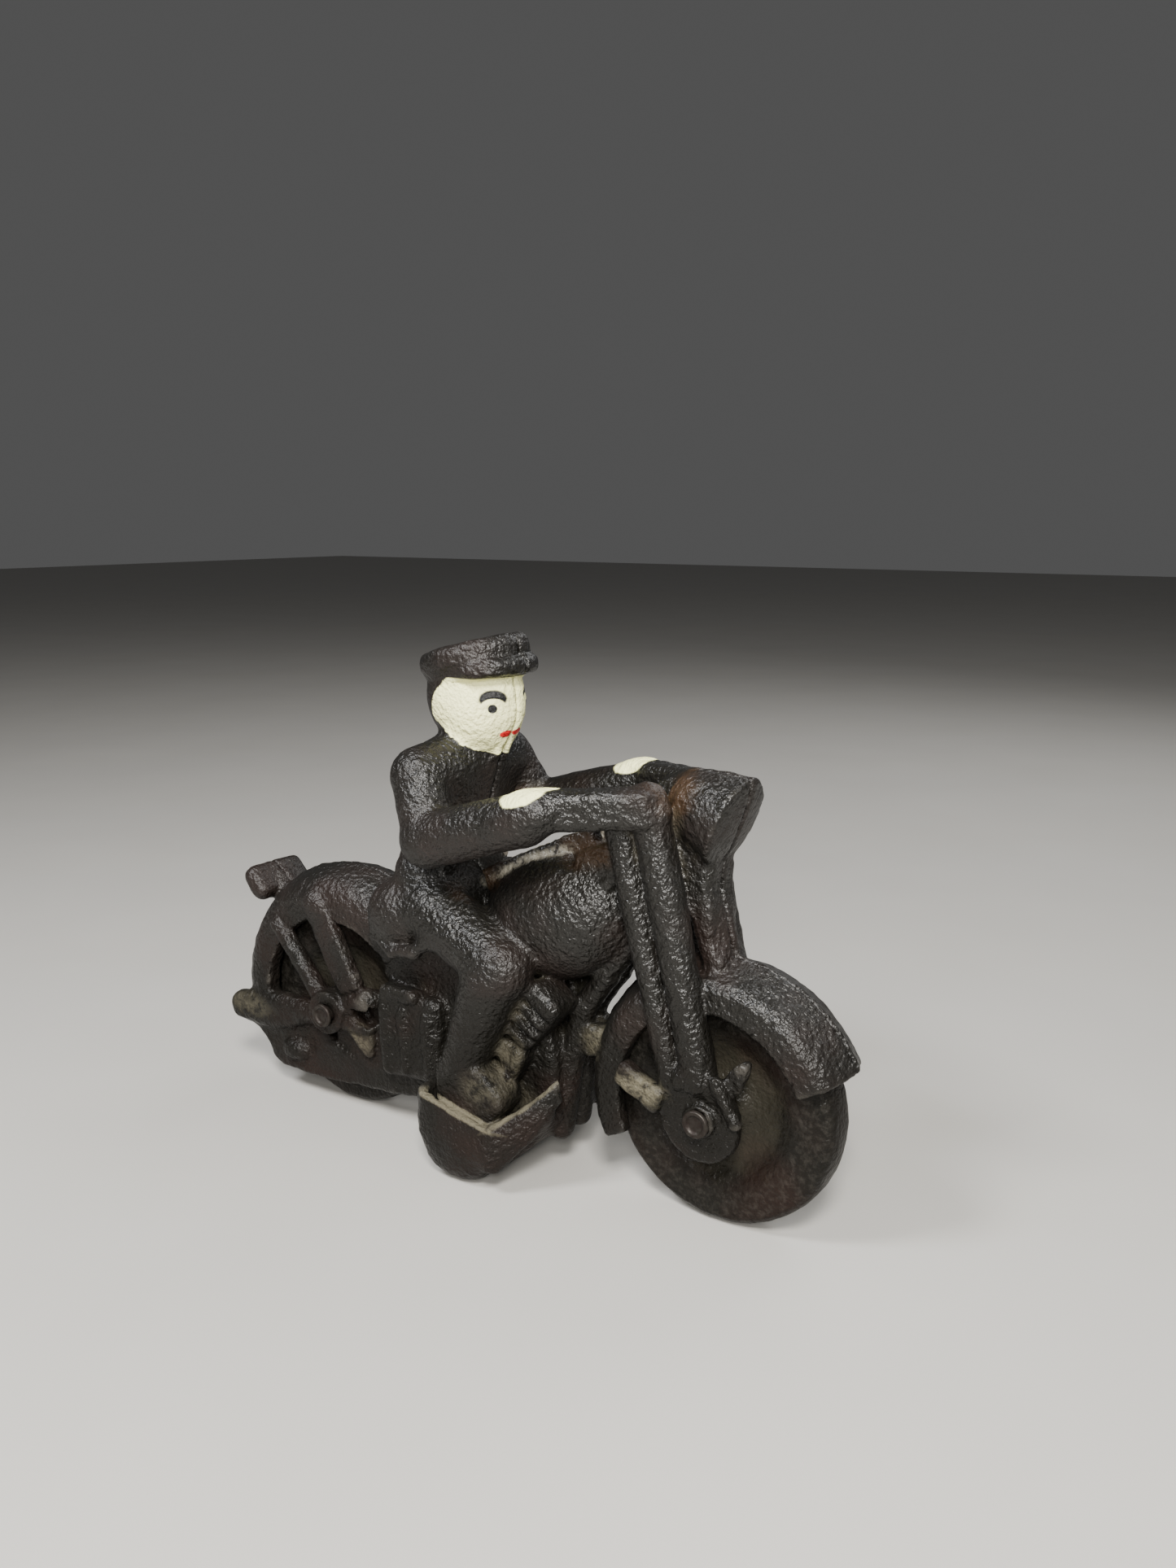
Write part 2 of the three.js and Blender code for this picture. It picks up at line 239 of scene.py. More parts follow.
def turned(centre, profile, first=None, last=None):
    """Body of revolution about an axle, from a closed outline of (radius, w), over a range of angles."""
    cx, cz = centre
    reach = max(r for r, _ in profile)
    w0, w1 = min(w for _, w in profile), max(w for _, w in profile)

    def field(x, w, z):
        d = outline_distance(profile, np.hypot(x - cx, z - cz), w)
        if first is None:
            return d
        # signed distances past the two end planes of the sector
        a, b = math.radians(first), math.radians(last)
        past_first = math.sin(a) * (x - cx) - math.cos(a) * (z - cz)
        past_last = math.cos(b) * (z - cz) - math.sin(b) * (x - cx)
        if last - first > 180:
            return smooth_max(d, np.minimum(past_first, past_last), 1.2)
        return smooth_max(d, np.maximum(past_first, past_last), 1.2)

    return (cx - reach, w0, cz - reach), (cx + reach, w1, cz + reach), field


def disc(centre, radius, w0, w1):
    """Plain disc about an axle."""
    return turned(centre, [(-0.01, w0), (radius, w0), (radius, w1), (-0.01, w1)])


def lathe_along(centre, pitch, profile):
    """Body of revolution about a tilted axis in the seam plane, from an outline of (along, radius)."""
    cx, cz = centre
    reach = max(max(abs(t), r) for t, r in profile) * 1.2

    def field(x, w, z):
        u, v = rotated(x, z, cx, cz, pitch)
        return outline_distance(profile, u, np.hypot(v, w))

    return (cx - reach, -reach, cz - reach), (cx + reach, reach, cz + reach), field


# ---- Grid ----


def smooth_min(a, b, k):
    """Union of two fields with a fillet of about k."""
    h = np.maximum(k - np.abs(a - b), 0) / k
    return np.minimum(a, b) - h * h * k / 4


def smooth_max(a, b, k):
    """Intersection of two fields with a rounded edge of about k."""
    return -smooth_min(-a, -b, k)


class Field:
    """A distance field on a grid."""

    def __init__(self, low, high, cell):
        self.low, self.cell = np.array(low, float), cell
        counts = np.ceil((np.array(high) - self.low) / cell).astype(int) + 1
        self.d = np.full(counts, FAR, np.float32)

    def _part(self, low, high, margin):
        i0 = np.floor((np.array(low) - margin - self.low) / self.cell).astype(int)
        i1 = np.ceil((np.array(high) + margin - self.low) / self.cell).astype(int) + 1
        i0, i1 = np.clip(i0, 0, self.d.shape), np.clip(i1, 0, self.d.shape)
        cut = tuple(slice(a, b) for a, b in zip(i0, i1))
        axes = [
            (self.low[n] + self.cell * np.arange(i0[n], i1[n])).astype(np.float32)
            for n in range(3)
        ]
        return cut, axes[0][:, None, None], axes[1][None, :, None], axes[2][None, None, :]

    def add(self, shape, k=1.2):
        low, high, field = shape
        cut, x, w, z = self._part(low, high, k + 2)
        self.d[cut] = smooth_min(self.d[cut], field(x, w, z), k)

    def cut(self, shape, k=0.5):
        low, high, field = shape
        cut, x, w, z = self._part(low, high, k + 2)
        self.d[cut] = smooth_max(self.d[cut], -field(x, w, z), k)

    def everywhere(self):
        return self._part(self.low, self.low + self.cell * np.array(self.d.shape), 0)[1:]

    def at(self, array, points):
        """Values of an array on this grid at points in millimetres."""
        q = (points - self.low) / self.cell
        i = np.clip(np.floor(q).astype(int), 0, np.array(self.d.shape) - 2)
        f = np.clip(q - i, 0, 1)
        total = np.zeros(len(points), np.float32)
        for corner in range(8):
            o = np.array([(corner >> n) & 1 for n in range(3)])
            weight = np.prod(np.where(o, f, 1 - f), axis=1)
            total += weight * array[tuple((i + o).T)]
        return total


def lumps(shape, cell, size, seed):
    """Smooth random lumps of about a size, from -1 to 1, on a grid."""
    rng = np.random.default_rng(seed)
    counts = [int(n * cell / size) + 3 for n in shape]
    out = rng.uniform(-1, 1, counts).astype(np.float32)
    for axis, n in enumerate(shape):
        t = np.arange(n) * cell / size
        i = t.astype(int)
        f = t - i
        f = (f * f * (3 - 2 * f)).astype(np.float32)
        f = f.reshape([-1 if a == axis else 1 for a in range(3)])
        out = np.take(out, i, axis) * (1 - f) + np.take(out, i + 1, axis) * f
    return out


def blurred(array, radius, mirror_w):
    """Box blur twice in each direction, radius in cells; w can be mirrored at the edge of the grid."""
    modes = ["edge", "reflect" if mirror_w else "edge", "edge"]
    out = array.astype(np.float32)
    for axis in range(3):
        for _ in range(2):
            pad = [(radius + 1, radius) if a == axis else (0, 0) for a in range(3)]
            total = np.cumsum(np.pad(out, pad, mode=modes[axis]), axis, dtype=np.float64)
            n = total.shape[axis]
            high = np.take(total, range(2 * radius + 1, n), axis)
            low = np.take(total, range(0, n - 2 * radius - 1), axis)
            out = ((high - low) / (2 * radius + 1)).astype(np.float32)
    return out


def mesh_from(name, field, values, attributes, side=1, adaptivity=0.0):
    """A smooth-shaded object of the zero surface. side -1 mirrors it to the right of the rider."""
    grid = openvdb.FloatGrid(background=float(FAR))
    grid.copyFromArray(np.clip(values, -2, 2).astype(np.float32))
    points, triangles, quads = grid.convertToPolygons(isovalue=0.0, adaptivity=adaptivity)
    points = points * field.cell + field.low
    found = {key: field.at(array, points) for key, array in attributes.items()}
    points[:, 1] *= side
    loops = np.concatenate([triangles.ravel(), quads.ravel()]).astype(np.int32)
    sizes = np.concatenate([np.full(len(triangles), 3), np.full(len(quads), 4)])
    starts = np.concatenate([[0], np.cumsum(sizes)[:-1]]).astype(np.int32)
    mesh = bpy.data.meshes.new(name)
    mesh.vertices.add(len(points))
    mesh.vertices.foreach_set("co", (points / 1000).astype(np.float32).ravel())
    mesh.loops.add(len(loops))
    mesh.loops.foreach_set("vertex_index", loops)
    mesh.polygons.add(len(sizes))
    mesh.polygons.foreach_set("loop_start", starts)
    mesh.update(calc_edges=True)
    if side > 0:
        mesh.flip_normals()
    mesh.validate()
    mesh.shade_smooth()
    for key, numbers in found.items():
        layer = mesh.attributes.new(key, "FLOAT", "POINT")
        layer.data.foreach_set("value", numbers.astype(np.float32))
    ob = bpy.data.objects.new(name, mesh)
    bpy.context.scene.collection.objects.link(ob)
    return ob


# ---- Outside of the castings ----


def round_outline(x, z, r, steps=32):
    turn = [2 * math.pi * i / steps for i in range(steps)]
    return [(x + r * math.cos(a), z + r * math.sin(a)) for a in turn]


def guard_profile(crown, side):
    """Mudguard section: a low ridge at the seam, then points down the side; hollow for the wheel."""
    return [
        (crown + 0.3, SEAM_REACH),
        (crown + 0.3, 0.6),
        *side,
        (side[-1][0], CHANNEL_W),
        (CHANNEL_R, CHANNEL_W),
        (CHANNEL_R, SEAM_REACH),
    ]


def front_end(c):
    fx, fz = FRONT
    side = [(30.4, 1.8), (28.1, 7.6), (26.2, 9.1), (21.2, 9.3)]
    c.add(turned(FRONT, guard_profile(30.9, side), 24, 206))
    # Fork: two tubes to a round axle plate, with a raised edge and a fin in front
    c.add(plate(round_outline(fx - 0.9, fz - 0.7, 9.0), 8.2, 11.6, 1.3), 1)
    c.add(disc(FRONT, 3.4, 8.2, 12.9), 1.2)
    c.add(rod((43.4, 9.7, 88.2), (56.2, 9.5, 33), 4.1, 3.7), 0.5)
    c.add(rod((36.6, 9.8, 84), (50, 9.9, 31), 3.5, 2.7), 0.6)
    c.add(rod((60.4, 11.2, 34), (65.2, 11.6, 26.8), 1.3), 1)
    c.add(plate([(59.5, 30), (62.8, 36.5), (67.6, 40.6), (66.4, 36), (64.2, 30.5)], 8.4, 10.4, 0.5), 0.8)
    c.add(beam((37.8, 10.6, 31.4), (49, 11.8, 26.8), 1.9, 2.7, 1.2), 0.7)
    c.add(egg((52.8, 11.6, 33), (2, 1.8, 2.4)), 1)
    # Fork crown, front panel with a scoop beside the seam
    c.add(egg((41.5, 10.2, 86.6), (7.5, 3.7, 4)), 1.5)
    panel = [(44, 88), (56, 76), (54.6, 71), (56.4, 66), (58.2, 58), (59, 54), (55, 50)]
    c.add(plate([*panel, (51.5, 60), (46, 78), (40, 86)], SEAM_REACH, 5.6, 2), 0.9)
    c.cut(egg((59, 4.4, 64), (3, 2.6, 6.5), -8), 1.5)
    c.cut(egg((55.6, 0, 70.7), (2.6, 1.1, 1.8)), 0.6)
    # Headlight
    lamp = [(-15, -0.01), (-14, 4), (-11, 6.8), (-6, 8.7), (-1.6, 9.6), (-1.2, 10), (-0.2, 10)]
    lamp += [(0.1, 9.4), (0.9, 5), (1.1, -0.01)]
    c.add(lathe_along((57.9, 83.9), -21, lamp), 1)


def rider(c):
    # Cap: crown rising to the front, waist, and a visor wrapping round the sides
    c.add(puck((-7.4, 0, 113.3), (13.0, 11.4, 2.7), 2.3, 15.5))
    c.add(puck((-7.2, 0, 110.9), (11.3, 10.0, 2.2), 0.8, 4), 1.2)
    c.add(puck((-1.6, 0, 110.9), (8.8, 10.6, 1.8), 1.4, 7), 1)
    c.add(egg((-2.6, 0, 111.8), (9.2, 10, 2.6), 8), 1.5)
    # Head: skull, face, nose ridge and chin
    c.add(egg((-7.5, 0, 104.5), SKULL_HALF))
    c.add(egg((-4.5, 0, 100.8), (7.7, 9.2, 9.2)), 2)
    c.add(block((-2.6, 0, 103.6), (6.1, 4.2, 5.4), 3.2), 3)
    c.add(rod((0.8, 1.2, 95), (-0.8, 1.5, 91.8), 0.9), 0.8)
    c.add(egg((-8.5, 0, 91), (7.2, 7.8, 7)), 1.5)
    # Shoulders, chest leaning forward over the waist, hips
    c.add(egg((-9.8, 6.5, 89), (7.4, 11.5, 7.2)), 3)
    for form in (CHEST, WAIST, HIPS):
        c.add(egg(*form), 3)
    c.add(rod((-5.2, 0, 90), (-9.8, 0, 74), 2.6), 4)
    # Arm, hand and handlebar
    c.add(rod((-11, 15.2, 88.3), (-5, 19.6, 76.4), 6.4, 5.6), 2)
    c.add(rod((-4.8, 20, 75.9), (21, 20.8, 83.8), 6, 5.5), 1.2)
    c.add(egg((23.2, 20.8, 85.4), (6.6, 5, 5), 12), 1.5)
    c.add(beam((22, 20.8, 86), (45.5, 10.6, 87.4), 3.6, 4.0, 1.8), 1)
    # Coat skirt over the saddle, with a crescent fold
    c.add(egg((-18.8, 11.4, 55), (9.4, 8.2, 9)), 0.8)
    c.add(egg((-15.5, 11.5, 64.5), (5.5, 4.8, 6), 15), 1.5)
    fold = [(-26.4, 14, 55), (-23.4, 16.8, 50.6), (-17.4, 18.2, 48.2), (-11, 18.4, 49.4), (-7, 18, 52.6)]
    for low, high in zip(fold, fold[1:]):
        c.add(rod(low, high, 1.5), 1)
    # Thigh, knee, shin and boot
    c.add(rod((-11, 11.5, 57.5), (11.4, 15.6, 49.4), 7.4, 6.6), 2)
    c.add(rod((8.8, 15.8, 46.5), (0.8, 16.4, 25), 6.9, 5), 2)
    boot = [(-4, 14), (-4.4, 27), (3, 28), (9, 26), (14.6, 20.8), (12.6, 17), (8.6, 13)]
    c.add(plate(boot, 11.6, 20.4, 1.3), 0.8)


def engine(c):
    # Tank and its flat-topped neck to the fork
    c.add(egg(*TANK), 1)
    c.add(beam((26, 2.5, 70.5), (46, 2.5, 79.5), 6.2, 4.6, 1.2), 2)
    # Rough lips standing round the coin slot
    c.add(beam((-0.8, 4.2, 64.2), (28.4, 4.2, 77.8), 1.8, 2.7, 0.5), 1.2)
    # Frame down tube and its web to the mudguard
    tube = [(39, 2.2, 62), (29.4, 2.2, 47.6), (23.4, 2.4, 39), (20.8, 2.8, 29), (18, 3.6, 10)]
    for low, high in zip(tube, tube[1:]):
        c.add(rod(low, high, 2.7), 1)
    web = [(22, 36), (30.5, 35.5), (32, 31.5), (27.5, 28.5), (22, 28)]
    c.add(plate(web, SEAM_REACH, 4.6, 1), 1)
    # Crankcase, cylinder with fins, wedge-shaped lug
    case = [(-24, 16), (-14, 9), (14, 7), (20, 14), (20, 30), (13, 45), (-12, 54), (-27, 53)]
    c.add(plate(case, SEAM_REACH, 9, 2), 1.5)
    lean = math.radians(CYLINDER_LEAN)
    c.add(block(CYLINDER_CENTRE, (7.6, 5, 4.6), 2.2, CYLINDER_LEAN), 1)
    cx, cw, cz = CYLINDER_CENTRE
    for along in (-3.8, -0.6, 2.6):
        groove = (cx + along * math.cos(lean), cw + 6, cz + along * math.sin(lean))
        c.cut(block(groove, (0.6, 2.6, 7), 0.5, CYLINDER_LEAN), 0.9)
    c.add(plate([(6.4, 33), (16.4, 30.6), (10.6, 20)], 6, 14.4, 1.6), 1)
    c.add(egg((2, 6, 22), (10, 6, 9.5)), 1.5)
    # Tool box behind the leg, with a lid and ribs
    c.add(block((-19, 6.6, 25), (9.4, 6.2, 10.6), 2.6, 3), 1.5)
    c.add(beam((-27, 11, 35), (-15.5, 12, 35.6), 2, 1.6, 1), 1)
    for x in (-26.2, -20.6, -13.6):
        c.add(rod((x, 12.2, 31), (x + 0.6, 12.2, 16.5), 1.5, 1.2), 1)


def footboard(c):
    # Boat-shaped tray, trimmed to its sloping rim and hollowed
    tray = [(-8.8, 26), (-9.8, 10), (-5.4, 1.5), (-1, 0), (6.5, 0), (12, 5.4), (13.6, 26)]
    c.add(plate(tray, 3, 22.8, 4), 1)
    c.cut(plate([(-14, 30), (-14, 20.4), (13, 14.4), (30, 30)], -6, 30, 0.1), 0.8)
    c.cut(plate([(-6.6, 30), (-6.6, 15.4), (10.6, 12.2), (12, 30)], 10, 20.9, 0.6), 1.2)
    # Slanting front wall up to the down tube
    wall = [(-2, 5), (-1, 14.6), (5, 17.8), (10, 21.4), (14.5, 25.2)]
    wall += [(15.4, 20.5), (11, 15), (6, 9.4), (1, 4.6)]
    c.add(upright(wall, (12, 21.2), -42, 1.5, 1.2), 2)
    c.add(plate([(5, 1), (8, 11), (19, 19), (21, 15.4), (16.6, 8.6), (10, 3)], 3, 13.4, 1.8), 2)
    # Swollen outside of the tray, at its side and along its front wall
    c.add(egg((1.5, 18.4, 9), (9.5, 5.4, 7)), 2)
    c.add(rod((10.4, 19.6, 9), (18.8, 13, 17), 3.6, 2.8), 2)


def rear_end(c):
    ax, az = REAR
    side = [(34.3, 2.5), (33.4, 5.2), (31.8, 7.6), (29.6, 9.3), (27, 10), (22.8, 10)]
    c.add(turned(REAR, guard_profile(34.6, side), 42, 192))
    c.add(plate([(-29, 36), (-19, 36), (-14, 64), (-31, 58)], CHANNEL_W, 9, 1), 1.5)
    # Tail lamp across the seam
    c.add(block((-73.6, 0, 52.2), (2.6, 8.8, 4.6), 2.3, 40), 0.8)
    c.add(rod((-68, 0, 47.5), (-72.6, 0, 51.4), 3.2), 1.5)
    # Struts from the mudguard to the axle
    c.add(rod((-64, 9, 44), (-48.4, 9.9, 27.6), 2.3), 0.8)
    c.add(beam((-50.5, 9.2, 51), (-38.8, 10, 32), 1.5, 3.6, 0.7), 0.8)
    c.add(egg((-50.5, 9.6, 51), (4, 2, 3.4), -30), 1)
    c.add(beam((-42, 10.6, 32.5), (-36, 10.6, 35), 1.3, 2, 0.7), 0.6)
    c.add(disc(REAR, 5.4, CHANNEL_W, 13.2), 1)
    c.add(rod((ax, 9, az), (-34, 9.6, 30), 3.4, 3), 1)
    # Fishtail exhaust, lower web, muffler end
    fishtail = [(-82.6, 22.4), (-82, 16), (-67, 15.4), (-52, 20), (-52, 25.6), (-68, 25.4)]
    c.add(plate(fishtail, CHANNEL_W, 11, 2.3), 1)
    c.add(rod((-56, 9.2, 22.6), (-34, 9.8, 24), 2.5), 1)
    web = [(-80, 17), (-71, 13.6), (-67.4, 6.2), (-52, 5.8), (-17, 9), (-14, 14), (-30, 15)]
    c.add(plate([*web, (-38, 13.6), (-52, 20)], CHANNEL_W, 9.4, 1), 1)
    c.add(plate([(-47, 17.5), (-37, 13.5), (-20, 12), (-20, 34), (-40, 31)], CHANNEL_W, 9, 0.8), 1)
    c.add(egg((-59, 9, 12), (4.8, 2.8, 2.8)), 1)
    c.cut(plate([(-37.5, 31), (-31, 31), (-31, 23.4), (-36.5, 23.4)], 7.4, 12, 0.3), 0.5)
    c.add(plate([(-42.4, 22.6), (-32, 23), (-32.4, 14.6)], 8, 10.8, 0.3), 0.4)


def chamber(c):
    """Coin chamber: tank, chest, waist, hips, head, neck and crankcase, inside the skin."""
    for centre, half, pitch in (TANK, CHEST, WAIST, HIPS, ((-7.5, 0, 103), SKULL_HALF, 0)):
        c.cut(egg(centre, [size - WALL for size in half], pitch))
    c.cut(rod((-8.5, 0, 98), (-10, 0, 84), 4.4))
    c.cut(plate([(-11, 16), (13, 12), (16, 17), (16.5, 29), (9, 50), (-9, 54)], -6, 6, 1.5))


def slot_cut(c):
    """Coin slot along the seam in the tank top."""
    c.cut(block(SLOT_CENTRE, SLOT_HALF, 0.6, SLOT_PITCH), 0.6)


def castings():
    c = Field(CAST_LOW, CAST_HIGH, CELL)
    for build in (footboard, engine, front_end, rear_end, rider):
        build(c)
    skin = c.d.copy()
    chamber(c)
    slot_cut(c)
    for s in SCREWS.values():
        c.add(disc((s["x"], s["z"]), PILLAR_R, SEAM_REACH, s["tip"] + 2.2), 0.8)
    for centre in (FRONT, REAR):
        c.cut(disc(centre, CHANNEL_R, SEAM_REACH, CHANNEL_W), 0.6)
        c.cut(disc(centre, PIN_R + FIT, SEAM_REACH, PAST_SIDE), 0.3)

    solid = (c.d < 0).astype(np.float32)
    near = blurred(solid, round(1.6 / CELL), True)
    wide = blurred(solid, round(4.5 / CELL), True)
    x, w, z = c.everywhere()
    # The lips of the slot are rougher than the rest
    along = x - SLOT_CENTRE[0]
    lip_z = LIP_Z + LIP_SLOPE * along
    by_slot = np.exp(-((along / 15) ** 6 + (w / 6) ** 6 + ((z - lip_z) / 5) ** 6))
    made = []
    shape = c.d.shape
    for name, side, seed in (("right_casting_cast", -1, 11), ("left_casting_cast", 1, 47)):
        rough = 0.15 * lumps(shape, CELL, 1.3, seed) + 0.14 * lumps(shape, CELL, 2.7, seed + 1)
        rough += 0.25 * lumps(shape, CELL, 12, seed + 2)
        rough += 0.45 * lumps(shape, CELL, 1.1, seed + 4) * by_slot
        half = Field(CAST_LOW, CAST_HIGH, CELL)
        half.d = c.d + rough * (skin > -1.5)
        for s in SCREWS.values():
            centre = (s["x"], s["z"])
            if side < 0:
                half.cut(disc(centre, SCREW_R + FIT, SEAM_REACH, s["tip"] + FIT), 0.3)
            else:
                half.cut(disc(centre, SCREW_R + FIT, SEAM_REACH, PAST_SIDE), 0.3)
                half.cut(disc(centre, SCREW_HEAD_R + FIT, s["head"] - FIT, PAST_SIDE), 0.4)
        # Seam: a ragged hairline that opens towards the skin, wide open across the headlight
        gap = 0.1 + 0.09 * lumps(shape, CELL, 5, seed + 3)
        gap = gap + 0.2 * np.clip(1 + skin / 1.2, 0, 1)
        gap = gap + 0.55 * np.exp(-(((x - 62) / 6) ** 2 + ((z - 83) / 8) ** 2))
        half.d = smooth_max(half.d, gap - w, 0.7)
        made.append(mesh_from(name, half, half.d, {"near": near, "wide": wide}, side, 0.03))
    return made


right, left = castings()


# ---- Wheels, pins and screws ----

SHARP = 0.01  # fillet too small to see


def field_round(centre, reach, w0, w1, cell):
    """Empty grid round an axis in X and Z, between two distances from the seam plane."""
    cx, cz = centre
    return Field((cx - reach, w0, cz - reach), (cx + reach, w1, cz + reach), cell)


def nearness(field, radius):
    """Share of solid near each point, with a radius in cells."""
    return blurred((field.d < 0).astype(np.float32), radius, False)


def wheel(name, centre, seed):
    bore = PIN_R + FIT
    side = [
        (bore, TREAD - 0.2),
        (5.2, TREAD - 0.2),
        (7, 3.1),
        (9, 2.5),
        (13.2, 2.6),
        (16.2, 4.2),
        (17.2, 4.6),
        (21, TREAD),
        (WHEEL_R - 1.5, TREAD - 0.1),
        (WHEEL_R - 0.5, TREAD - 1.1),
        (WHEEL_R, 1.8),
    ]
    profile = side + [(r, -w) for r, w in reversed(side)]
    f = field_round(centre, WHEEL_R + 1.5, -6, 6, WHEEL_CELL)
    f.add(turned(centre, profile), SHARP)
    x, _, z = f.everywhere()
    radius = np.hypot(x - centre[0], z - centre[1])
    rough = 0.07 * lumps(f.d.shape, f.cell, 1.3, seed) + 0.12 * lumps(f.d.shape, f.cell, 4, seed + 1)
    # The skin is smooth round the bore, and no lump stands out past the tread
    past_bore = np.clip((radius - bore - 1) / 2, 0, 1)
    inside_tread = np.clip((WHEEL_R + 0.1 - radius) / 0.3, 0, 1)
    rough = np.where(rough < 0, rough * inside_tread, rough)
    near = nearness(f, 4)
    return mesh_from(name, f, f.d + rough * past_bore, {"near": near, "wide": near}, 1, 0.05)


def pin(name, centre, outer, seed):
    """Axle pin whose ends are peened into dished rings."""
    end = outer + FIT
    top = end + 1.1
    half = [(PIN_R, end), (2.8, end), (3, end + 0.4), (2.8, top - 0.1), (2.4, top), (2, top - 0.1)]
    half.append((1.6, top - 0.6))
    profile = [(-0.01, -top + 0.6)] + [(r, -w) for r, w in reversed(half)] + half + [(-0.01, top - 0.6)]
    f = field_round(centre, 4, -17, 17, FINE_CELL)
    f.add(turned(centre, profile), SHARP)
    rough = 0.05 * lumps(f.d.shape, f.cell, 0.9, seed)
    near = nearness(f, 3)
    return mesh_from(name, f, f.d + rough, {"near": near, "wide": near})


def screw(name, spec, seed):
    """Round-head screw with a slot, put in from the left."""
    centre, head, tip = (spec["x"], spec["z"]), spec["head"], -spec["tip"]
    top = head + 2.2
    profile = [(-0.01, tip), (SCREW_R - 0.3, tip), (SCREW_R, tip + 1), (SCREW_R, head)]
    profile += [(SCREW_HEAD_R, head), (3.6, head + 0.8), (2.6, top - 0.4), (1.2, top), (-0.01, top)]
    f = field_round(centre, 5, tip - 1, top + 1, FINE_CELL)
    f.add(turned(centre, profile), SHARP)
    f.cut(block((centre[0], top, centre[1]), (6, 1.1, 0.5), 0.1, 32), 0.1)
    x, w, z = f.everywhere()
    # Thread on the shank, clear of the head
    turn = np.arctan2(z - centre[1], x - centre[0]) / (2 * math.pi)
    ridge = np.abs((w / 0.9 - turn) % 1 - 0.5) * 0.9 - 0.22
    thread = np.where((w < head - 3) & (np.hypot(x - centre[0], z - centre[1]) > 1.4), ridge, 0)
    rough = 0.03 * lumps(f.d.shape, f.cell, 0.9, seed)
    near = nearness(f, 3)
    return mesh_from(name, f, f.d + rough + np.maximum(thread, 0) * 0.6, {"near": near, "wide": near})


front_wheel = wheel("front_wheel_cast", FRONT, 5)
rear_wheel = wheel("rear_wheel_cast", REAR, 9)
front_pin = pin("front_pin_peened", FRONT, 13.0, 21)
rear_pin = pin("rear_pin_peened", REAR, 13.4, 23)
screws = {n: screw(n + "_slotted", s, 31) for n, s in SCREWS.items()}


# ---- Materials ----


